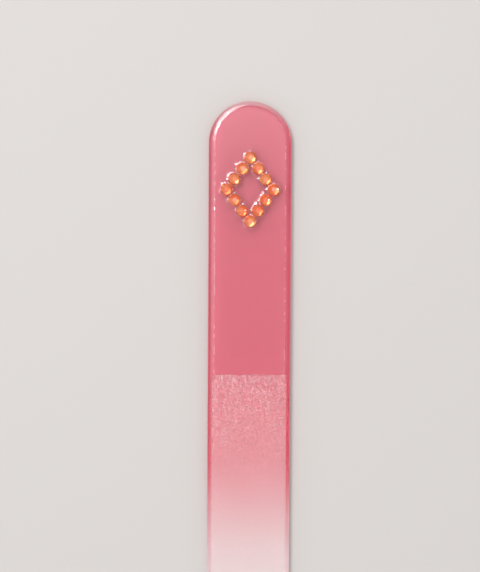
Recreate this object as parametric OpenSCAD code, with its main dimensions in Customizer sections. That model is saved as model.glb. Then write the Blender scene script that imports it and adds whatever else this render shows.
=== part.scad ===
// Glass nail file: a tinted, edge-ground glass blank with etched filing faces, a slim tip for pushing back
// cuticles, and a handle set with glued, foil-backed stones. Millimetres. The file lies flat with +Z up and
// its round handle end towards +Y. The origin is on the resting face, under the middle of the file.

/* [Glass blank] */
// Length from the round handle end to the tip
file_l = 135; // [115:1:160]
// Width of the parallel part
file_w = 12; // [11.5:0.5:14]
// Thickness of the glass, whose edges are ground to a full round
glass_t = 2; // [1.6:0.1:2.2]
// Length over which the sides curve in to the tip
taper_l = 40; // [30:1:50]
// Radius of the tip, seen from above
tip_r = 1.6; // [1.4:0.1:2.5]

/* [Etched face] */
// Length of the polished handle, from its round end to the etched face
handle_l = 39.6; // [32:0.2:55]
// Depth that the etch takes off the top face
etch_d = 0.03; // [0.01:0.01:0.06]

/* [Colour film] */
// Thickness of the colour film on the back of the glass
film_t = 0.04; // [0.03:0.01:0.1]

/* [Stones] */
// Diameter of a stone at its girdle
stone_d = 1.8; // [1.5:0.05:1.95]
// Height of a stone above its foil
stone_h = 0.75; // [0.6:0.05:0.9]
// Height of a stone's upright girdle
girdle_h = 0.12; // [0.08:0.01:0.2]
// Width across the corners of a stone's flat table
table_d = 0.7; // [0.5:0.05:0.9]
// Thickness of the mirror foil under a stone
foil_t = 0.03; // [0.02:0.01:0.06]
// Clear space between neighbouring stones
stone_gap = 0.1; // [0.09:0.01:0.2]
// How far the hand that set a stone missed its place
hand_slip = 0.03; // [0:0.01:0.03]
// Distance from the handle's round end to the middle of the stone motif
motif_from_end = 12.8; // [12:0.1:18]
// Bare flat glass left beside the motif
motif_margin = 0.4; // [0.2:0.05:0.6]

/* [Glue] */
// Thickness of the glue under a stone's foil
glue_t = 0.05; // [0.03:0.01:0.1]
// Radius of the glue bead squeezed out round a stone
bead_r = 0.28; // [0.15:0.01:0.3]
// Clearance between a stone and the glue round it
glue_fit = 0.005; // [0.002:0.001:0.01]

/* [Hidden] */
// Steps in a full turn of the ends, stones and glue, of an edge's round, and of the taper.
$fn = 96;
round_fn = 48;
taper_fn = 720;

// Outline of the blank, seen from above: a half round, parallel sides, and two arcs that run into the tip.
// The taper laps the parallel part by a small turn of its arcs.
half_w = file_w / 2;
edge_r = glass_t / 2;
end_y = file_l / 2;
handle_y = end_y - half_w;
taper_y = taper_l - end_y;
tip_y = tip_r - end_y;
taper_drop = taper_y - tip_y;
taper_r = (taper_drop ^ 2 + half_w ^ 2 - tip_r ^ 2) / (2 * (half_w - tip_r));
taper_turn = asin(taper_drop / (taper_r - tip_r));
taper_x = half_w - taper_r;
taper_lap = 2;

// Levels, from the resting face upwards.
glass_z = film_t;
top_z = glass_z + glass_t;
foil_z = top_z + glue_t;
stone_z = foil_z + foil_t;
etch_y = end_y - handle_l;

// Stones sit along the four sides of a lozenge that fills the flat of the handle.
stones_per_side = 3;
stone_count = 4 * stones_per_side;
stone_r = stone_d / 2;
stone_pitch = stone_d + stone_gap;
glue_r = stone_r + glue_fit;
motif_y = end_y - motif_from_end;
motif_half_w = half_w - edge_r - motif_margin - glue_r - bead_r;
motif_half_l = sqrt((stones_per_side * stone_pitch) ^ 2 - motif_half_w ^ 2);

// Facets of a stone: a row of girdle corners, with half as many round the crown and the table.
girdle_sides = 16;
crown_sides = girdle_sides / 2;
facet_turn = 360 / girdle_sides;
table_r = table_d / 2;
crown_r = (stone_r + table_r) / 2 + 0.05 * stone_d;
// The crown corners lie in the planes of the kite facets.
crown_z = stone_h - (stone_h - girdle_h) * (crown_r * cos(facet_turn) - table_r) / (stone_r - table_r);
foil_r = stone_r * cos(facet_turn / 2);
// Turn from one stone to the next, so that no two catch the light alike.
stone_turn = 137.5;

function numbered(name, i) = str(name, "_", i < 9 ? "0" : "", i + 1);

// Corners of the lozenge, from the one nearest the handle's end.
motif_corners = [[0, motif_half_l], [motif_half_w, 0], [0, -motif_half_l], [-motif_half_w, 0]];

function slip(i) = hand_slip * [sin(i * stone_turn), cos(2 * i * stone_turn)];

// Middle of stone i, on the glass.
function stone_at(i) =
    let (
        side = floor(i / stones_per_side),
        share = i / stones_per_side - side,
        from = motif_corners[side],
        to = motif_corners[(side + 1) % 4]
    )
    from + share * (to - from) + slip(i) + [0, motif_y];

function ring(count, r, z, turn) = [
    for (k = [0 : count - 1]) [r * cos(turn + k * 360 / count), r * sin(turn + k * 360 / count), z]
];

// Runs a profile round the whole outline. The profile is drawn from the middle outwards, with the outline at
// x = $reach and its underside at y = 0. The rounds and the taper lap the stretch beside them.
module along_outline() {
    translate([0, handle_y]) rotate_extrude() let ($reach = half_w) children();
    translate([0, handle_y]) rotate([90, 0, 0]) linear_extrude(handle_y - taper_y)
        for (side = [0, 1]) mirror([side, 0]) let ($reach = half_w) children();
    intersection_for (side = [0, 1]) mirror([side, 0]) translate([taper_x, taper_y])
        rotate_extrude(start = -taper_turn, angle = taper_turn + taper_lap, $fn = taper_fn)
            translate([taper_r - file_w, 0]) let ($reach = file_w) children();
    translate([0, tip_y]) rotate_extrude() let ($reach = tip_r) children();
}

module glass_blank() {
    color([0.93, 0.72, 0.76, 0.5]) difference() {
        translate([0, 0, glass_z]) along_outline() {
            union() {
                square([$reach - edge_r, glass_t]);
                translate([$reach - edge_r, edge_r]) intersection() {
                    circle(edge_r, $fn = round_fn);
                    translate([0, -edge_r]) square([edge_r, glass_t]);
                }
            }
        }
        translate([-file_w, etch_y - file_l, top_z - etch_d]) cube([2 * file_w, file_l, glass_t]);
    }
}

module colour_film() {
    color([0.85, 0.4, 0.47]) along_outline() square([$reach - edge_r, film_t]);
}

module cut_stone() {
    base = 0;
    girdle = girdle_sides;
    crown = 2 * girdle_sides;
    table = crown + crown_sides;
    all = [0 : girdle_sides - 1];
    half = [0 : crown_sides - 1];
    function g(j) = girdle + (j + girdle_sides) % girdle_sides;
    function c(k) = crown + (k + crown_sides) % crown_sides;
    function t(k) = table + (k + crown_sides) % crown_sides;
    polyhedron(
        points = concat(
            ring(girdle_sides, stone_r, 0, 0),
            ring(girdle_sides, stone_r, girdle_h, 0),
            ring(crown_sides, crown_r, crown_z, 0),
            ring(crown_sides, table_r, stone_h, facet_turn)
        ),
        faces = concat(
            [[for (j = all) base + j]],
            [for (j = all) [base + j, g(j), g(j + 1), base + (j + 1) % girdle_sides]],
            [for (k = half) [g(2 * k), c(k), g(2 * k + 1)]],
            [for (k = half) [g(2 * k - 1), c(k), g(2 * k)]],
            [for (k = half) [g(2 * k + 1), c(k), t(k), c(k + 1)]],
            [for (k = half) [c(k), t(k - 1), t(k)]],
            [[for (k = half) t(-k)]]
        )
    );
}

module rhinestone(i) {
    color([0.93, 0.38, 0.2]) translate([each stone_at(i), stone_z]) rotate(i * stone_turn) cut_stone();
}

module foil_back(i) {
    color([0.8, 0.8, 0.82]) translate([each stone_at(i), foil_z]) cylinder(r = foil_r, h = foil_t);
}

// One drop of glue: a thin bed under the foil and a bead round the stone. Drops that meet part at the plane
// midway between their stones.
module glue_dab(i) {
    reach = glue_r + bead_r;
    color([0.96, 0.86, 0.86, 0.6]) translate([each stone_at(i), top_z]) difference() {
        rotate_extrude() {
            square([glue_r, glue_t]);
            translate([glue_r, 0]) intersection() {
                circle(bead_r);
                square(bead_r);
            }
        }
        for (j = [0 : stone_count - 1]) {
            away = stone_at(j) - stone_at(i);
            apart = norm(away);
            if (j != i && apart < 2 * reach)
                rotate(atan2(away.y, away.x)) translate([apart / 2, -reach, -glue_t])
                    cube([reach, 2 * reach, 2 * glue_t + bead_r]);
        }
    }
}

glass_blank();
colour_film();
for (i = [0 : stone_count - 1]) {
    rhinestone(i);
    foil_back(i);
    glue_dab(i);
}
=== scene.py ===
"""Looks of a glass nail file: edge-ground glass with an etched filing face, a sprayed colour film on its back,
and a handle set with foil-backed stones in drops of clear glue. Lengths are metres, in the part's own frame."""

import math

import bmesh
import bpy
from mathutils import Matrix, Vector, noise


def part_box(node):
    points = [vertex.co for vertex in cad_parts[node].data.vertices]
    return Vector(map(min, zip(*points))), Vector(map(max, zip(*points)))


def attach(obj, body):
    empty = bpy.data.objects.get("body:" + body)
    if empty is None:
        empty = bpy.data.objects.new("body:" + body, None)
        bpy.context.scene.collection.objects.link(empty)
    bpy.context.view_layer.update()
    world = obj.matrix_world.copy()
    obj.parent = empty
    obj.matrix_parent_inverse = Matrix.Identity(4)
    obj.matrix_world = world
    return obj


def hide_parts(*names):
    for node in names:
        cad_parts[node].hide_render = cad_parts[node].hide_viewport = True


bl_info = {
    "name": "Glass nail file",
    "version": (1, 0, 0),
    "blender": (4, 5, 0),
    "location": "View3D > Sidebar > Nail file",
    "description": "Dresses the packed glass nail file and sets up a plain stage for it",
    "category": "Object",
}

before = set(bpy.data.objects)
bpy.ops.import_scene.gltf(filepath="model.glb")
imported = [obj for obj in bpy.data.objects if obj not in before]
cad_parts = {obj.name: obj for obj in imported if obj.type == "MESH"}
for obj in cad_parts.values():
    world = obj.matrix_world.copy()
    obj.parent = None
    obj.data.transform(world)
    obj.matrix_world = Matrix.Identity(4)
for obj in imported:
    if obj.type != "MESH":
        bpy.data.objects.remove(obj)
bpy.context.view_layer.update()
BLANK_LOW, BLANK_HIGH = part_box("glass_blank")
FILM_LOW, FILM_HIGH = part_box("colour_film")
MM = 0.001
GLASS_IOR = 1.52
STONES = range(1, 13)
# Turn from one stone to the next, so that no two lean alike and no two strings of glue run alike.
STONE_TURN = math.radians(137.5)


def linear(code):
    """Turns an sRGB hex colour into linear red, green and blue."""
    parts = [int(code[k : k + 2], 16) / 255 for k in (1, 3, 5)]
    return tuple(c / 12.92 if c <= 0.04045 else ((c + 0.055) / 1.055) ** 2.4 for c in parts)


def length(name, description, default):
    return bpy.props.FloatProperty(
        name=name, description=description, default=default, unit="LENGTH", precision=5
    )


def colour(name, description, code):
    return bpy.props.FloatVectorProperty(
        name=name, description=description, default=linear(code), subtype="COLOR", min=0, max=1
    )


class NailFileSizes(bpy.types.PropertyGroup):
    """Sizes of the file that the looks follow."""

    file_length: length("Length", "From the round handle end to the tip", BLANK_HIGH.y - BLANK_LOW.y)
    width: length("Width", "Across the parallel part", BLANK_HIGH.x - BLANK_LOW.x)
    taper: length("Taper", "Length over which the sides curve in to the tip", 40 * MM)
    tip_radius: length("Tip radius", "Radius of the tip, seen from above", 1.6 * MM)
    handle: length("Handle", "Polished length before the etched face", 39.6 * MM)
    etch_depth: length("Etch depth", "What the etch takes off the top face", 0.03 * MM)
    etch_margin: length("Etch margin", "Polished edge left beside the etched face, seen from above", 0.5 * MM)
    shoulder: length("Shoulder", "How far the ground edge reaches in from the outline", 0.86 * MM)
    film: length("Film", "Thickness of the colour film", FILM_HIGH.z - FILM_LOW.z)
    bead: length("Glue bead", "How far the glue stands out round a stone", 0.48 * MM)
    fade_start: length("Fade start", "Where the colour begins to fade, from the handle end", 50.5 * MM)
    fade_end: length("Fade end", "Where the colour has faded to white, from the handle end", 69 * MM)


class NailFileColours(bpy.types.PropertyGroup):
    """Colours of the file and its stage."""

    lacquer: colour("Lacquer", "Colour film at the handle", "#F36E86")
    # Painted shade: the deeper edge colour stands in for the little light that reaches the edges.
    lacquer_edge_shade: colour("Edge lacquer", "Colour film where it builds up on the edges", "#CE585F")
    lacquer_faded: colour("Faded lacquer", "Colour film towards the tip", "#F9E1E5")
    floor: colour("Floor", "Stage floor", "#C4C0BD")


def add(tree, kind, inputs=None, **settings):
    """Adds a node with its settings, and gives its inputs values or links them to other nodes' outputs."""
    node = tree.nodes.new(kind)
    for name, value in settings.items():
        setattr(node, name, value)
    for key, value in (inputs or {}).items():
        if isinstance(value, bpy.types.NodeSocket):
            tree.links.new(value, node.inputs[key])
        else:
            node.inputs[key].default_value = value
    return node


def material(name):
    """A new material with an output node only, and its node tree."""
    made = bpy.data.materials.new(name)
    made.use_nodes = True
    made.node_tree.nodes.clear()
    return made, made.node_tree, add(made.node_tree, "ShaderNodeOutputMaterial")


def finish_material(tree, output, shader):
    tree.links.new(shader.outputs[0], output.inputs["Surface"])


def soda_lime_polished(sizes):
    """Float glass, ground and fire-polished: a hard clear gloss, with faint finger marks that dull it, and a
    painted reflection: a pale milky veil on the edge of the handle's end, in place of a bright window's
    reflection."""
    made, tree, output = material("Polished soda-lime glass")
    place = add(tree, "ShaderNodeTexCoord").outputs["Object"]
    # Finger marks a few millimetres across.
    marks = add(tree, "ShaderNodeTexNoise", {"Vector": place, "Scale": 1 / (4 * MM), "Detail": 3.0})
    dull = add(tree, "ShaderNodeMapRange", {"Value": marks.outputs["Fac"], 1: 0.45, 2: 0.75, 3: 0.012, 4: 0.06})
    # Painted reflection: the edge of the handle's end is made a little milky white, standing in for a bright
    # window mirrored there.
    end, half, painted_reflection_peak = sizes.file_length / 2, sizes.width / 2, 0.24
    off = add(tree, "ShaderNodeVectorMath", {0: place, 1: (0, end - half, 0)}, operation="SUBTRACT")
    level = add(tree, "ShaderNodeVectorMath", {0: off.outputs[0], 1: (1, 1, 0)}, operation="MULTIPLY")
    out = add(tree, "ShaderNodeVectorMath", {0: level.outputs[0]}, operation="LENGTH").outputs["Value"]
    rim = add(tree, "ShaderNodeMapRange", {"Value": out, 1: half - 0.8 * MM, 2: half - 0.35 * MM})
    y = add(tree, "ShaderNodeSeparateXYZ", {0: place}).outputs["Y"]
    round_end = add(tree, "ShaderNodeMapRange", {
        "Value": y, 1: end - half + 1 * MM, 2: end - 0.5 * MM, 4: painted_reflection_peak,
    })
    painted_reflection = add(tree, "ShaderNodeMath", {0: rim.outputs[0], 1: round_end.outputs[0]}, operation="MULTIPLY")
    clear = add(tree, "ShaderNodeMath", {0: 1.0, 1: painted_reflection.outputs[0]}, operation="SUBTRACT")
    shader = add(tree, "ShaderNodeBsdfPrincipled", {
        "Base Color": (1, 1, 1, 1), "Roughness": dull.outputs[0], "IOR": GLASS_IOR,
        "Transmission Weight": clear.outputs[0],
    })
    finish_material(tree, output, shader)
    return made


def soda_lime_ground():
    """Float glass off the grinding wheel: the narrow arris beside the flats, satin with bright chips."""
    made, tree, output = material("Wheel-ground soda-lime glass")
    place = add(tree, "ShaderNodeTexCoord").outputs["Object"]
    chips = add(tree, "ShaderNodeTexNoise", {"Vector": place, "Scale": 1 / (0.7 * MM), "Detail": 2.0})
    satin = add(tree, "ShaderNodeMapRange", {"Value": chips.outputs["Fac"], 1: 0.4, 2: 0.6, 3: 0.03, 4: 0.35})
    shader = add(tree, "ShaderNodeBsdfPrincipled", {
        "Base Color": (1, 1, 1, 1), "Roughness": satin.outputs[0], "IOR": GLASS_IOR,
        "Transmission Weight": 0.88,
    })
    finish_material(tree, output, shader)
    return made


def soda_lime_etched(sizes):
    """Float glass bitten by acid: a frosted field of fine pits, coarser next to the handle, with painted
    glints: the middles of the pits are whitened."""
    made, tree, output = material("Acid-etched soda-lime glass")
    place = add(tree, "ShaderNodeTexCoord").outputs["Object"]
    along = add(tree, "ShaderNodeSeparateXYZ", {0: place}).outputs["Y"]
    edge, coarse_run = sizes.file_length / 2 - sizes.handle, 16 * MM
    coarse = add(tree, "ShaderNodeMapRange", {
        "Value": along, 1: edge - coarse_run, 2: edge, 3: 0.3, 4: 1.0,
    }).outputs[0]
    # Pits of about 0.05 mm, drawn at 0.12 mm so that they show. Most are dull, and a few are bright.
    pits = add(tree, "ShaderNodeTexVoronoi", {"Vector": place, "Scale": 1 / (0.12 * MM)}).outputs
    depth = add(tree, "ShaderNodeMath", {0: pits["Distance"], 1: coarse}, operation="MULTIPLY")
    relief = add(tree, "ShaderNodeBump", {"Height": depth.outputs[0], "Strength": 0.3, "Distance": 0.05 * MM})
    own = add(tree, "ShaderNodeSeparateColor", {0: pits["Color"]}).outputs[0]
    rare = add(tree, "ShaderNodeMath", {0: own, 1: 3.0}, operation="POWER")
    dullest, brightest = -0.3, 0.7
    speck = add(tree, "ShaderNodeMapRange", {"Value": rare.outputs[0], 3: dullest, 4: brightest})
    drawn = add(tree, "ShaderNodeMath", {0: speck.outputs[0], 1: coarse}, operation="MULTIPLY").outputs[0]
    light = add(tree, "ShaderNodeMapRange", {"Value": drawn, 1: dullest, 2: brightest, 3: 0.0, 4: 1.0})
    tone = add(tree, "ShaderNodeMix", {
        0: light.outputs[0], 6: (*linear("#EDEBE8"), 1), 7: (*linear("#FFFDFB"), 1),
    }, data_type="RGBA")
    haze = add(tree, "ShaderNodeMapRange", {"Value": drawn, 1: dullest, 2: brightest, 3: 0.99, 4: 0.52})
    # Painted glints: the middle of each pit is made whiter, standing in for pit bottoms that face up and
    # glitter.
    painted_glint_spots = add(tree, "ShaderNodeMapRange", {"Value": pits["Distance"], 1: 0.08, 2: 0.3, 3: 0.2, 4: 0.0})
    painted_glint = add(tree, "ShaderNodeMath", {0: painted_glint_spots.outputs[0], 1: coarse}, operation="MULTIPLY")
    clear = add(tree, "ShaderNodeMath", {0: haze.outputs[0], 1: painted_glint.outputs[0]}, operation="SUBTRACT")
    shader = add(tree, "ShaderNodeBsdfPrincipled", {
        "Base Color": tone.outputs[2], "Roughness": 0.6, "IOR": GLASS_IOR,
        "Transmission Weight": clear.outputs[0], "Normal": relief.outputs[0],
    })
    finish_material(tree, output, shader)
    return made


def sprayed_lacquer(sizes, colours):
    """Nitrocellulose lacquer sprayed on the back: even and opaque, deeper up the edges as a painted shade, and
    fading through a soft mist to white."""
    made, tree, output = material("Sprayed lacquer")
    place = add(tree, "ShaderNodeTexCoord").outputs["Object"]
    axes = add(tree, "ShaderNodeSeparateXYZ", {0: place}).outputs
    # Painted shade: the film turns to the deeper edge colour as it rises up the edges.
    rise = add(tree, "ShaderNodeMapRange", {"Value": axes["Z"], 1: FILM_HIGH.z, 2: FILM_HIGH.z + 0.5 * MM})
    full = add(tree, "ShaderNodeMix", {
        0: rise.outputs[0], 6: (*colours.lacquer, 1), 7: (*colours.lacquer_edge_shade, 1),
    }, data_type="RGBA")
    # The mist of the spray gun wanders by a millimetre or so.
    mist = add(tree, "ShaderNodeTexNoise", {"Vector": place, "Scale": 1 / (6 * MM), "Detail": 2.0})
    wander = 1.2 * MM
    drift = add(tree, "ShaderNodeMapRange", {"Value": mist.outputs["Fac"], 3: -wander, 4: wander})
    where = add(tree, "ShaderNodeMath", {0: axes["Y"], 1: drift.outputs[0]}, operation="ADD")
    end = sizes.file_length / 2
    fade = add(tree, "ShaderNodeMapRange", {
        "Value": where.outputs[0], 1: end - sizes.fade_start, 2: end - sizes.fade_end, 3: 0.0, 4: 1.0,
    }, interpolation_type="SMOOTHSTEP")
    tone = add(tree, "ShaderNodeMix", {
        0: fade.outputs[0], 6: full.outputs[2], 7: (*colours.lacquer_faded, 1),
    }, data_type="RGBA")
    shader = add(tree, "ShaderNodeBsdfPrincipled", {
        "Base Color": tone.outputs[2], "Roughness": 0.4, "Specular IOR Level": 0.3,
    })
    finish_material(tree, output, shader)
    return made


def orange_crystal():
    """Cut lead crystal, tinted through: thin paths glow yellow and long ones turn to deep orange."""
    made, tree, output = material("Orange cut crystal")
    place = add(tree, "ShaderNodeTexCoord").outputs["Object"]
    # The melt's tint differs a little from stone to stone.
    batch = add(tree, "ShaderNodeTexNoise", {"Vector": place, "Scale": 1 / (2.2 * MM), "Detail": 1.0})
    tint = add(tree, "ShaderNodeMapRange", {"Value": batch.outputs["Fac"], 1: 0.4, 2: 0.6, 3: 0.0, 4: 1.0})
    tone = add(tree, "ShaderNodeMix", {
        0: tint.outputs[0], 6: (*linear("#FFA876"), 1), 7: (*linear("#FF885C"), 1),
    }, data_type="RGBA")
    shader = add(tree, "ShaderNodeBsdfPrincipled", {
        "Base Color": tone.outputs[2], "Roughness": 0.0, "IOR": 1.56, "Transmission Weight": 0.66,
    })
    body = add(tree, "ShaderNodeVolumeAbsorption", {"Color": (*linear("#FFB878"), 1), "Density": 620.0})
    tree.links.new(body.outputs[0], output.inputs["Volume"])
    finish_material(tree, output, shader)
    return made


def mirror_foil():
    """Silvered backing of a stone: a bright mirror, crinkled and here and there a little dulled."""
    made, tree, output = material("Silvered foil")
    place = add(tree, "ShaderNodeTexCoord").outputs["Object"]
    noises = {"Vector": place, "Scale": 1 / (0.5 * MM), "Detail": 2.0}
    tarnish = add(tree, "ShaderNodeTexNoise", noises).outputs["Fac"]
    dull = add(tree, "ShaderNodeMapRange", {"Value": tarnish, 1: 0.35, 2: 0.65, 3: 0.06, 4: 0.2})
    tone = add(tree, "ShaderNodeMix", {
        0: tarnish, 6: (*linear("#FEFDFB"), 1), 7: (*linear("#F6F3EE"), 1),
    }, data_type="RGBA")
    shader = add(tree, "ShaderNodeBsdfPrincipled", {
        "Base Color": tone.outputs[2], "Metallic": 1.0, "Roughness": dull.outputs[0],
    })
    finish_material(tree, output, shader)
    return made


def cured_glue():
    """Cyanoacrylate gone hard in the open: clear as water, with a hard wet gloss over faint ripples."""
    made, tree, output = material("Cured clear glue")
    place = add(tree, "ShaderNodeTexCoord").outputs["Object"]
    noises = {"Vector": place, "Scale": 1 / (0.25 * MM), "Detail": 1.0}
    ripple = add(tree, "ShaderNodeTexNoise", noises).outputs["Fac"]
    relief = add(tree, "ShaderNodeBump", {"Height": ripple, "Strength": 0.5, "Distance": 0.02 * MM})
    haze = add(tree, "ShaderNodeMix", {
        0: ripple, 6: (*linear("#FFFFFF"), 1), 7: (*linear("#FBF6F4"), 1),
    }, data_type="RGBA")
    # The body's low IOR stands in for its contact with the glass; the coat gives the real gloss.
    shader = add(tree, "ShaderNodeBsdfPrincipled", {
        "Base Color": haze.outputs[2], "Roughness": 0.0, "IOR": 1.05, "Transmission Weight": 1.0,
        "Coat Weight": 1.0, "Coat Roughness": 0.04, "Coat IOR": 1.55, "Coat Normal": relief.outputs[0],
    })
    finish_material(tree, output, shader)
    return made


def bonded_glue():
    """Where the glue has wetted glass, stone or foil: no surface is left for the eye to see there."""
    made, tree, output = material("Bonded clear glue")
    place = add(tree, "ShaderNodeTexCoord").outputs["Object"]
    blush = add(tree, "ShaderNodeTexNoise", {"Vector": place, "Scale": 1 / (0.6 * MM), "Detail": 1.0})
    tone = add(tree, "ShaderNodeMix", {
        0: blush.outputs["Fac"], 6: (*linear("#FFFFFF"), 1), 7: (*linear("#FEFCFB"), 1),
    }, data_type="RGBA")
    shader = add(tree, "ShaderNodeBsdfPrincipled", {
        "Base Color": tone.outputs[2], "Roughness": 0.0, "IOR": 1.0, "Transmission Weight": 1.0,
    })
    finish_material(tree, output, shader)
    return made


def stations(sizes):
    """Places up the right side of the outline, tip first: x, y and the outward direction's x and y."""
    half, end, tip = sizes.width / 2, sizes.file_length / 2, sizes.tip_radius
    tip_y, taper_y, handle_y = tip - end, sizes.taper - end, end - half
    drop = taper_y - tip_y
    bend = (drop**2 + half**2 - tip**2) / (2 * (half - tip))
    turn = math.asin(drop / (bend - tip))
    straight = 300
    # Each arc's middle, radius, first and last angle, and steps.
    arcs = [
        (0, tip_y, tip, -math.pi / 2, -turn, 24),
        (half - bend, taper_y, bend, -turn, 0, 90),
        (0, handle_y, half, 0, math.pi / 2, 60),
    ]
    made = []
    for x, y, radius, first, last, steps in arcs:
        if last > 0:
            # The parallel part, with closer rows where the etched face steps down.
            etch_y = end - sizes.handle
            rows = [taper_y + (handle_y - taper_y) * k / straight for k in range(1, straight)]
            rows = [r for r in rows if abs(r - etch_y) > 0.2 * MM]
            rows += [etch_y + d * MM for d in (0.1, 0.0, -0.03, -0.15)]
            made += [(half, r, 1.0, 0.0) for r in sorted(rows)]
        for k in range(steps + 1):
            a = first + (last - first) * k / steps
            made.append((x + radius * math.cos(a), y + radius * math.sin(a), math.cos(a), math.sin(a)))
    return made


def ground_edge(sizes, steps):
    """The edge's section from its shoulder to mid-thickness: inset from the outline, height and tilt of its
    normal."""
    half = (BLANK_HIGH.z - BLANK_LOW.z) / 2
    # The tilt at the shoulder, and the upright land at mid-thickness beside a curve of length 1.
    first, land = math.radians(10), 0.32
    turns = [first + (math.pi / 2 - first) * k / steps for k in range(steps + 1)]
    places = [math.sqrt(k / steps) for k in range(steps + 1)]
    run, fall, made = 0.0, 0.0, [(0.0, 0.0, first)]
    for k in range(steps):
        step, tilt = places[k + 1] - places[k], (turns[k] + turns[k + 1]) / 2
        run += step * math.cos(tilt)
        fall += step * math.sin(tilt)
        made.append((run, fall, turns[k + 1]))
    made.append((run, fall + land, math.pi / 2))
    across, down = sizes.shoulder / run, half / (fall + land)
    return [(sizes.shoulder - x * across, half - z * down, tilt) for x, z, tilt in made]


def skin(name, shells, shades, which=lambda i, j: 0, flat=lambda i, j: False):
    """A mesh of closed shells, each a list of rings of points. Of the face from point j of ring i on,
    which(i, j) gives the material's index, and flat(i, j) says if it is shaded flat."""
    points, faces, places = [], [], []
    for rings in shells:
        count, base = len(rings[0]), len(points)
        for i in range(len(rings) - 1):
            for j in range(count):
                here, there, turn = base + i * count, base + (i + 1) * count, (j + 1) % count
                faces.append((here + j, here + turn, there + turn, there + j))
                places.append((i, j))
        points += [p for ring in rings for p in ring]
    mesh = bpy.data.meshes.new(name)
    mesh.from_pydata(points, [], faces)
    for shade in shades:
        mesh.materials.append(shade)
    mesh.polygons.foreach_set("material_index", [which(*p) for p in places])
    mesh.polygons.foreach_set("use_smooth", [not flat(*p) for p in places])
    tidy(mesh)
    return piece(name, mesh)


def tidy(mesh):
    """Welds coinciding points and turns all faces outwards."""
    work = bmesh.new()
    work.from_mesh(mesh)
    bmesh.ops.remove_doubles(work, verts=work.verts, dist=1e-8)
    bmesh.ops.dissolve_degenerate(work, edges=work.edges, dist=1e-9)
    bmesh.ops.recalc_face_normals(work, faces=work.faces)
    work.to_mesh(mesh)
    work.free()


def piece(name, mesh):
    """An object for a mesh, riding on the file."""
    made = bpy.data.objects.new(name, mesh)
    bpy.context.scene.collection.objects.link(made)
    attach(made, "root")
    return made


class NAILFILE_OT_glass_blank(bpy.types.Operator):
    """Makes the glass blank, with polished handle and edges and an etched filing face"""

    bl_idname = "nailfile.glass_blank"
    bl_label = "Glass blank"

    def execute(self, context):
        sizes = context.scene.nail_file_sizes
        middle = (BLANK_HIGH.z + BLANK_LOW.z) / 2
        etch_y = sizes.file_length / 2 - sizes.handle
        upper = ground_edge(sizes, steps=18)
        lower = [(inset, -height, tilt) for inset, height, tilt in upper[:-1]]
        round_ = lower + upper[::-1]
        etched_from = next(k for k, p in enumerate(round_) if p[1] > 0 and p[0] >= sizes.etch_margin)
        # Shares of the width of a flat. Its outermost strips are the arris.
        across = [0.006, 0.03] + [k / 20 for k in range(2, 19)] + [0.97, 0.994]
        span = len(round_) + len(across)
        places = stations(sizes)
        # The grinding wheel leaves the edge wavy and its upper shoulder with a fine chatter, each side in its
        # own way. The film fills the lower shoulder. These depths and pitches are in millimetres.
        wave_depth, wave_pitch = 0.006, 1.2
        least_mark, mean_mark, mark_swing, mark_pitch = 0.002, 0.009, 0.02, 0.55
        rings = []
        for x, y, out_x, out_y in places:
            sunk = sizes.etch_depth if y < etch_y - 0.02 * MM else 0
            right, left = [], []
            for inset, height, tilt in round_:
                for side, run in ((1, right), (-1, left)):
                    where = Vector((y / MM, out_x * 4, side * out_x * 5))
                    wave = inset + wave_depth * MM * abs(noise.noise(where / wave_pitch))
                    swing = mark_swing * (1 - max(out_y, 0)) ** 2
                    mark = least_mark
                    if height > 0:
                        mark = max(mark, mean_mark + swing * noise.noise(where / mark_pitch))
                    level = height - math.copysign(MM * mark * math.cos(tilt), height)
                    run.append((side * (x - out_x * wave), y - out_y * wave, middle + level))
            top, under = (right[-1], left[-1]), (left[0], right[0])
            flat, back = (
                [(a[0] + (b[0] - a[0]) * t, a[1] + (b[1] - a[1]) * t, z) for t in across]
                for (a, b), z in ((top, BLANK_HIGH.z), (under, BLANK_LOW.z))
            )
            ring = right + flat + left[::-1] + back
            rings.append([(px, py, min(pz, BLANK_HIGH.z - sunk)) for px, py, pz in ring])
        last = span + len(round_) - 1 - etched_from

        def finish(i, j):
            if places[i + 1][1] <= etch_y + 0.001 * MM and etched_from <= j < last:
                return 1
            return 2 if j % span in (len(round_) - 1, span - 1) else 0

        shades = [soda_lime_polished(sizes), soda_lime_etched(sizes), soda_lime_ground()]
        blank = skin(
            "glass_blank_dressed", [rings], shades, finish, lambda i, j: j % span >= len(round_) - 1,
        )
        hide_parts("glass_blank")
        return {"FINISHED"}


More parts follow.
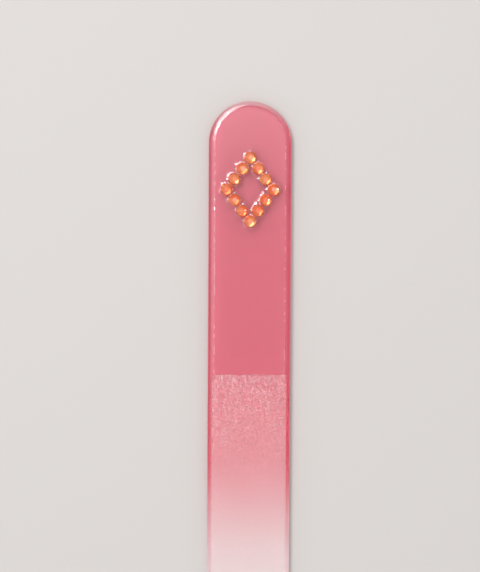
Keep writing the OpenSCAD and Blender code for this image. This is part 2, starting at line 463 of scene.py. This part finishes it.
class NAILFILE_OT_colour_film(bpy.types.Operator):
    """Makes the colour film on the back and the lower half of the edges"""

    bl_idname = "nailfile.colour_film"
    bl_label = "Colour film"

    def execute(self, context):
        sizes, colours = context.scene.nail_file_sizes, context.scene.nail_file_colours
        middle = (BLANK_HIGH.z + BLANK_LOW.z) / 2
        # How far the film is let into the glass.
        keyed = 0.012 * MM
        # The mist reaches up the edge to an uneven line, at these shares of half its round.
        mean_reach, sway = 0.92, 0.12
        steps = 20
        section = ground_edge(sizes, 2 * steps)
        across = [k / 12 for k in range(1, 12)]
        rings = []
        for x, y, out_x, out_y in stations(sizes):
            reach = mean_reach + sway * noise.noise(Vector((y / (4 * MM), out_x * 3, 7)))
            rows = [section[round(min(reach, 1) * 2 * k)] for k in range(steps + 1)]
            sides = []
            for lift in (sizes.film, -keyed):
                run = []
                for k, (inset, height, tilt) in enumerate(rows):
                    thick = lift if lift < 0 else lift * (1 - (k / steps) ** 3)
                    gone = max(inset - thick * math.sin(tilt) * (k > 0), 0)
                    low = -height - thick * (math.cos(tilt) if k else 1)
                    run.append((x - out_x * gone, y - out_y * gone, middle + low))
                first = run[0]
                flat = [(-first[0] * (1 - 2 * s), first[1], first[2]) for s in across]
                sides.append([(-px, py, pz) for px, py, pz in reversed(run)] + flat + run)
            rings.append(sides[0] + sides[1][::-1])
        film = skin("colour_film_dressed", [rings], [sprayed_lacquer(sizes, colours)])
        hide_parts("colour_film")
        return {"FINISHED"}


def seat(k):
    """How stone k and its foil sit: turned about the middle of the stone's back by the slight lean of a hand's
    work, and a little flatter, so that the lean makes none stand taller."""
    low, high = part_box(f"rhinestone_{k:02d}")
    middle = Vector(((low.x + high.x) / 2, (low.y + high.y) / 2, low.z))
    way, most_lean, flatter = STONE_TURN * k, 3.2, 0.97
    lean = math.radians(most_lean * (0.5 + 0.5 * abs(math.sin(1.9 * k))))
    turn = Matrix.Rotation(lean, 4, (math.cos(way), math.sin(way), 0))
    press = Matrix.Diagonal((1, 1, flatter, 1))
    return Matrix.Translation(middle) @ turn @ press @ Matrix.Translation(-middle)


class NAILFILE_OT_stones(bpy.types.Operator):
    """Sets the cut stones, each with its own slight lean, and dulls their sharpest edges"""

    bl_idname = "nailfile.stones"
    bl_label = "Stones"

    def execute(self, context):
        crystal = orange_crystal()
        for k in STONES:
            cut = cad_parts[f"rhinestone_{k:02d}"].data
            mesh = bpy.data.meshes.new(f"rhinestone_{k:02d}_dressed")
            mesh.from_pydata([tuple(v.co) for v in cut.vertices], [], [tuple(p.vertices) for p in cut.polygons])
            mesh.transform(seat(k))
            mesh.materials.append(crystal)
            work = bmesh.new()
            work.from_mesh(mesh)
            bmesh.ops.remove_doubles(work, verts=work.verts, dist=1e-7)
            bmesh.ops.dissolve_limit(work, angle_limit=math.radians(2), verts=work.verts, edges=work.edges)
            bmesh.ops.bevel(work, geom=work.edges[:], offset=0.012 * MM, segments=1, affect="EDGES")
            bmesh.ops.recalc_face_normals(work, faces=work.faces)
            work.to_mesh(mesh)
            work.free()
            stone = piece(f"rhinestone_{k:02d}_dressed", mesh)
            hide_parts(f"rhinestone_{k:02d}")
        return {"FINISHED"}


class NAILFILE_OT_foils(bpy.types.Operator):
    """Makes the crinkled mirror foil under each stone"""

    bl_idname = "nailfile.foils"
    bl_label = "Foil backs"

    def execute(self, context):
        silver = mirror_foil()
        steps = 24
        # How far the foil is let into the stone, its crinkles' depth and pitch, and its rise off the bed.
        lift, crinkle, pitch, rise = 0.01 * MM, 0.009 * MM, 0.4 * MM, 0.002 * MM
        for k in STONES:
            low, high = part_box(f"foil_back_{k:02d}")
            middle, radius = (low + high) / 2, (high.x - low.x) / 2
            rings = []
            for share in (0, 0.25, 0.5, 0.75, 0.98):
                ring = []
                for j in range(steps):
                    a = math.tau * j / steps
                    p = Vector((math.cos(a), math.sin(a), 0)) * radius * share + middle
                    p.z = high.z + lift + crinkle * noise.noise(p / pitch)
                    ring.append(tuple(p))
                rings.append(ring)
            rings += [[(x, y, low.z + rise) for x, y, z in ring] for ring in (rings[-1], rings[0])]
            rings = [[tuple(seat(k) @ Vector(p)) for p in ring] for ring in rings]
            foil = skin(f"foil_back_{k:02d}_dressed", [rings], [silver])
            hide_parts(f"foil_back_{k:02d}")
        return {"FINISHED"}


class NAILFILE_OT_glue(bpy.types.Operator):
    """Makes the uneven drop of glue under and round each stone"""

    bl_idname = "nailfile.glue"
    bl_label = "Glue dabs"

    def execute(self, context):
        sizes = context.scene.nail_file_sizes
        clear = [cured_glue(), bonded_glue()]
        boxes = [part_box(f"rhinestone_{k:02d}") for k in STONES]
        middles = [((low + high) / 2).to_2d() for low, high in boxes]
        # How far a drop stands clear of its stone and of the plane to the next drop, how far it is let into the
        # glass, the height of its bed from there, and its bead's height and least width.
        fit, parting, keyed = 0.006 * MM, 0.004 * MM, 0.012 * MM
        bed, bead_height, least_bead = 0.062 * MM, 0.19 * MM, 0.02 * MM
        steps = 64
        radius = max(high.x - low.x for low, high in boxes) / 2 + fit
        base = BLANK_HIGH.z - keyed
        # A gentle slope away from the stone that rolls over at its rim: shares of the bead's width and height.
        slope = ((1, 0), (0.97, 0.2), (0.9, 0.38), (0.8, 0.5), (0.45, 0.72), (0.1, 0.95), (0, 1))
        for k, here in zip(STONES, middles):
            near = [m - here for m in middles if 0 < (m - here).length < 3 * radius]
            rings = [[] for _ in range(len(slope) + 3)]
            for j in range(steps):
                a = math.tau * j / steps
                way = Vector((math.cos(a), math.sin(a)))
                lump = noise.noise(Vector((*way * 1.4, k * 3.1)))
                fine = noise.noise(Vector((*way * 4, k * 1.7)))
                free = sizes.bead * max(0.35, 1 + 0.75 * lump + 0.25 * fine)
                room = [n.length / 2 / max(way.dot(n.normalized()), 1e-6) for n in near if way.dot(n) > 0]
                out = max(min([free, *[r - radius - parting for r in room]]), least_bead)
                # Between two stones the glue is drawn up and levels out.
                pull = 1 - min(out / free, 1)
                swell = 1 + 0.35 * lump + 0.15 * fine
                tall = bead_height * swell * max(min(1, 0.35 + out / sizes.bead), 1.4 * pull)
                level = [h + (1 - h) * pull if h else 0 for _, h in slope]
                shape = [(0, 0)] + [(radius + out * w, tall * h) for (w, _), h in zip(slope, level)]
                shape += [(radius, bed), (0, bed)]
                for ring, (r, z) in zip(rings, shape):
                    ring.append((here.x + way.x * r, here.y + way.y * r, base + z))
            dab = skin(
                f"glue_dab_{k:02d}_dressed", [rings], clear, lambda i, j: 0 if 0 < i < len(slope) else 1,
            )
            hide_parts(f"glue_dab_{k:02d}")
        spill = skin("glue_spill", self.strings(middles, radius + sizes.bead), clear[:1])
        return {"FINISHED"}

    @staticmethod
    def strings(middles, reach):
        """Short curled strings that the glue's nozzle drew out beside the stones, one shell each."""
        # How far off a drop a string starts, the half of the flat that it keeps to, and how deep it sits.
        off, flat_half, sunk = 0.2 * MM, 4.6 * MM, 0.01 * MM
        steps, sides = 12, 8
        shells = []
        for k, here in enumerate(middles):
            way = STONE_TURN * k + 0.6
            start = here + Vector((math.cos(way), math.sin(way))) * (reach + off)
            if min((start - m).length for m in middles) < reach or abs(start.x) > flat_half:
                continue
            heading, bend = way + 1.2 + 0.7 * math.sin(3 * k), 2.2 * math.sin(5 * k)
            long, wide, tall = (0.55 + 0.3 * math.sin(2 * k)) * MM, 0.075 * MM, 0.06 * MM
            rings = []
            for step in range(steps + 1):
                t = step / steps
                swell = math.sin(math.pi * t) ** 0.6 * (1.25 - 0.6 * t)
                turn = heading + bend * t
                side = Vector((-math.sin(turn), math.cos(turn)))
                ring = []
                for j in range(sides + 1):
                    a = math.pi * j / sides
                    height = BLANK_HIGH.z + tall * swell * math.sin(a) - sunk
                    ring.append((*(start + side * wide * swell * math.cos(a)), height))
                rings.append(ring)
                start = start + Vector((math.cos(turn), math.sin(turn))) * long / steps
            shells.append(rings)
        return shells


class NAILFILE_OT_stage(bpy.types.Operator):
    """Sets up the floor, soft light, and a camera straight above the handle"""

    bl_idname = "nailfile.stage"
    bl_label = "Stage"

    @staticmethod
    def direction(turn, lean):
        """A unit vector at an angle round from +X and at a lean from straight up, in degrees."""
        turn, lean = math.radians(turn), math.radians(lean)
        return Vector((math.cos(turn) * math.sin(lean), math.sin(turn) * math.sin(lean), math.cos(lean)))

    def execute(self, context):
        scene, colours = context.scene, context.scene.nail_file_colours
        made, tree, output = material("Matt painted board")
        shader = add(tree, "ShaderNodeBsdfPrincipled", {
            "Base Color": (*colours.floor, 1), "Roughness": 0.8, "Specular IOR Level": 0.2,
        })
        # The floor lies just under the file. From below it is clear, and so it is to what all but touches it,
        # so that the file's back gets light there.
        gap, touching = 0.01 * MM, 0.05 * MM
        under = add(tree, "ShaderNodeBsdfTransparent")
        back = add(tree, "ShaderNodeNewGeometry").outputs["Backfacing"]
        reach = add(tree, "ShaderNodeLightPath").outputs["Ray Length"]
        touch = add(tree, "ShaderNodeMath", {0: reach, 1: touching}, operation="LESS_THAN")
        clear = add(tree, "ShaderNodeMath", {0: back, 1: touch.outputs[0]}, operation="MAXIMUM")
        finish_material(tree, output, add(tree, "ShaderNodeMixShader", {
            0: clear.outputs[0], 1: shader.outputs[0], 2: under.outputs[0],
        }))
        mesh = bpy.data.meshes.new("floor")
        corners = ((-2, -2), (2, -2), (2, 2), (-2, 2))
        mesh.from_pydata([(x, y, -gap) for x, y in corners], [], [(0, 1, 2, 3)])
        mesh.materials.append(made)
        floor = bpy.data.objects.new("floor", mesh)
        scene.collection.objects.link(floor)

        world = bpy.data.worlds.new("Soft studio")
        world.use_nodes = True
        sky = world.node_tree
        ray = add(sky, "ShaderNodeTexCoord").outputs["Generated"]
        height = add(sky, "ShaderNodeSeparateXYZ", {0: ray}).outputs["Z"]
        steep = add(sky, "ShaderNodeMath", {0: height}, operation="ABSOLUTE")
        plain = add(sky, "ShaderNodeMapRange", {"Value": steep.outputs[0], 1: 0.0, 2: 1.0, 3: 0.5, 4: 0.9})
        # What gloss mirrors: a dim room with a wide window high on the left, a pale patch of ceiling, a faint
        # wall beyond the tip, and three low lamps that only the stones catch. Each glow has the turn and lean
        # of its middle, the cosine at which it ends, and its peak.
        level = 0.1
        for turn, lean, edge, peak in (
            (150, 25, 0.0, 1.7), (140, 34, 0.75, 3.2), (120, 44, 0.93, 5.0), (75, 14, 0.966, 4.0),
            (270, 80, 0.2, 0.5), (235, 86, 0.99, 20.0), (300, 86, 0.99, 20.0), (10, 87, 0.992, 40.0),
        ):
            sight = {0: ray, 1: self.direction(turn, lean)}
            facing = add(sky, "ShaderNodeVectorMath", sight, operation="DOT_PRODUCT").outputs["Value"]
            near = add(sky, "ShaderNodeMapRange", {"Value": facing, 1: edge, 2: 1.0, 3: 0.0, 4: 1.0})
            soft = add(sky, "ShaderNodeMath", {0: near.outputs[0], 1: 2.0}, operation="POWER")
            sums = {0: soft.outputs[0], 1: peak, 2: level}
            level = add(sky, "ShaderNodeMath", sums, operation="MULTIPLY_ADD").outputs[0]
        path = add(sky, "ShaderNodeLightPath").outputs
        bounced = {0: path["Is Glossy Ray"], 1: path["Is Transmission Ray"]}
        mirrored = add(sky, "ShaderNodeMath", bounced, operation="SUBTRACT", use_clamp=True)
        mixed = add(sky, "ShaderNodeMix", {0: mirrored.outputs[0], 2: plain.outputs[0], 3: level})
        sky.links.new(mixed.outputs[0], sky.nodes["Background"].inputs["Strength"])
        sky.nodes["Background"].inputs["Color"].default_value = (1, 1, 1, 1)
        scene.world = world

        # The middle of the picture, on the glass. Each lamp has its turn and lean from there, its two sizes
        # and its power.
        aim = Vector((-1.41 * MM, 40.79 * MM, 2 * MM))
        lamp_distance = 0.55
        for turn, lean, long, wide, power in (
            (103, 32, 0.15, 0.13, 0.6), (130, 28, 0.15, 0.13, 0.6),
            (147, 25, 0.13, 0.13, 0.5), (176, 15, 0.02, 0.04, 0.2),
        ):
            light = bpy.data.lights.new("strip light", "AREA")
            light.shape, light.size, light.size_y, light.energy = "RECTANGLE", long, wide, power
            lamp = bpy.data.objects.new("strip light", light)
            back = self.direction(turn, lean)
            lamp.location = aim + lamp_distance * back
            along = Vector((-back.y, back.x, 0)).normalized()
            lamp.rotation_mode = "QUATERNION"
            lamp.rotation_quaternion = Matrix((along, back.cross(along), back)).transposed().to_quaternion()
            scene.collection.objects.link(lamp)

        lens = bpy.data.cameras.new("camera")
        eye = bpy.data.objects.new("camera", lens)
        # The eye stands a little to the left and towards the handle's end. The picture is this long.
        distance, picture = 0.25, 82.85 * MM
        lean_x, lean_y, roll = (math.radians(angle) for angle in (3, 2.4, 0.19))
        away = Vector((-math.tan(lean_x), math.tan(lean_y), 1)).normalized() * distance
        lens.lens = lens.sensor_width * distance / picture
        lens.clip_start = 0.01
        eye.location = aim + away
        eye.rotation_mode = "QUATERNION"
        ahead = -away.normalized()
        side = Vector((math.cos(roll), math.sin(roll), 0)).normalized()
        side = (side - ahead * side.dot(ahead)).normalized()
        up = side.cross(ahead)
        eye.rotation_quaternion = Matrix((side, up, -ahead)).transposed().to_quaternion()
        scene.collection.objects.link(eye)
        scene.camera = eye
        scene.view_settings.view_transform = "Standard"
        return {"FINISHED"}


STEPS = (
    NAILFILE_OT_stage,
    NAILFILE_OT_glass_blank,
    NAILFILE_OT_colour_film,
    NAILFILE_OT_stones,
    NAILFILE_OT_foils,
    NAILFILE_OT_glue,
)


class NAILFILE_PT_panel(bpy.types.Panel):
    """Sizes, colours and steps of the nail file"""

    bl_idname = "NAILFILE_PT_panel"
    bl_label = "Nail file"
    bl_space_type = "VIEW_3D"
    bl_region_type = "UI"
    bl_category = "Nail file"

    def draw(self, context):
        for group in (context.scene.nail_file_sizes, context.scene.nail_file_colours):
            for name in group.__annotations__:
                self.layout.prop(group, name)
        for step in STEPS:
            self.layout.operator(step.bl_idname)


CLASSES = (NailFileSizes, NailFileColours, *STEPS, NAILFILE_PT_panel)


def register():
    for part in CLASSES:
        bpy.utils.register_class(part)
    bpy.types.Scene.nail_file_sizes = bpy.props.PointerProperty(type=NailFileSizes)
    bpy.types.Scene.nail_file_colours = bpy.props.PointerProperty(type=NailFileColours)


def unregister():
    del bpy.types.Scene.nail_file_colours
    del bpy.types.Scene.nail_file_sizes
    for part in reversed(CLASSES):
        bpy.utils.unregister_class(part)


def main():
    register()
    bpy.ops.nailfile.stage()
    bpy.ops.nailfile.glass_blank()
    bpy.ops.nailfile.colour_film()
    bpy.ops.nailfile.stones()
    bpy.ops.nailfile.foils()
    bpy.ops.nailfile.glue()


if __name__ == "__main__":
    main()
